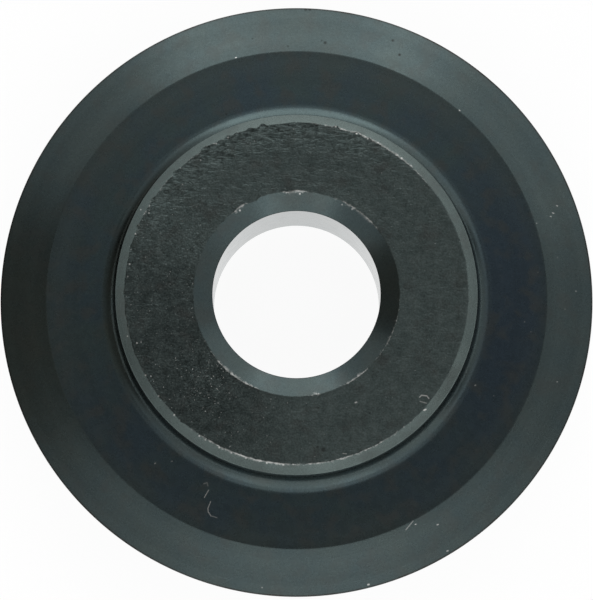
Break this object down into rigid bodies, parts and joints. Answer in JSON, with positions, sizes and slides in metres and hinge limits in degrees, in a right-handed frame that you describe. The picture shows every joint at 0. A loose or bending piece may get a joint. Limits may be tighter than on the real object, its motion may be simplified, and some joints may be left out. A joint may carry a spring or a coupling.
{
  "type": "pipe cutter wheel",
  "caption": "One-piece steel cutter wheel with a wide hub, a plain bore with chamfered mouths, and a thin web whose rim is ground from both sides to a sharp edge.",
  "frame": {"origin": "centre of the bore in the cutting plane, midway between the two hub faces", "axes": "+Z along the bore, out of the upper hub face; the cutting edge lies in the XY plane"},
  "size_m": [0.032, 0.032, 0.008],
  "materials": {
    "blackened_steel": "satin black oxide on turned and ground steel, with rough forged hub faces"
  },
  "bodies": {
    "root": {"cutter_wheel": "blackened_steel"}
  },
  "joints": []
}
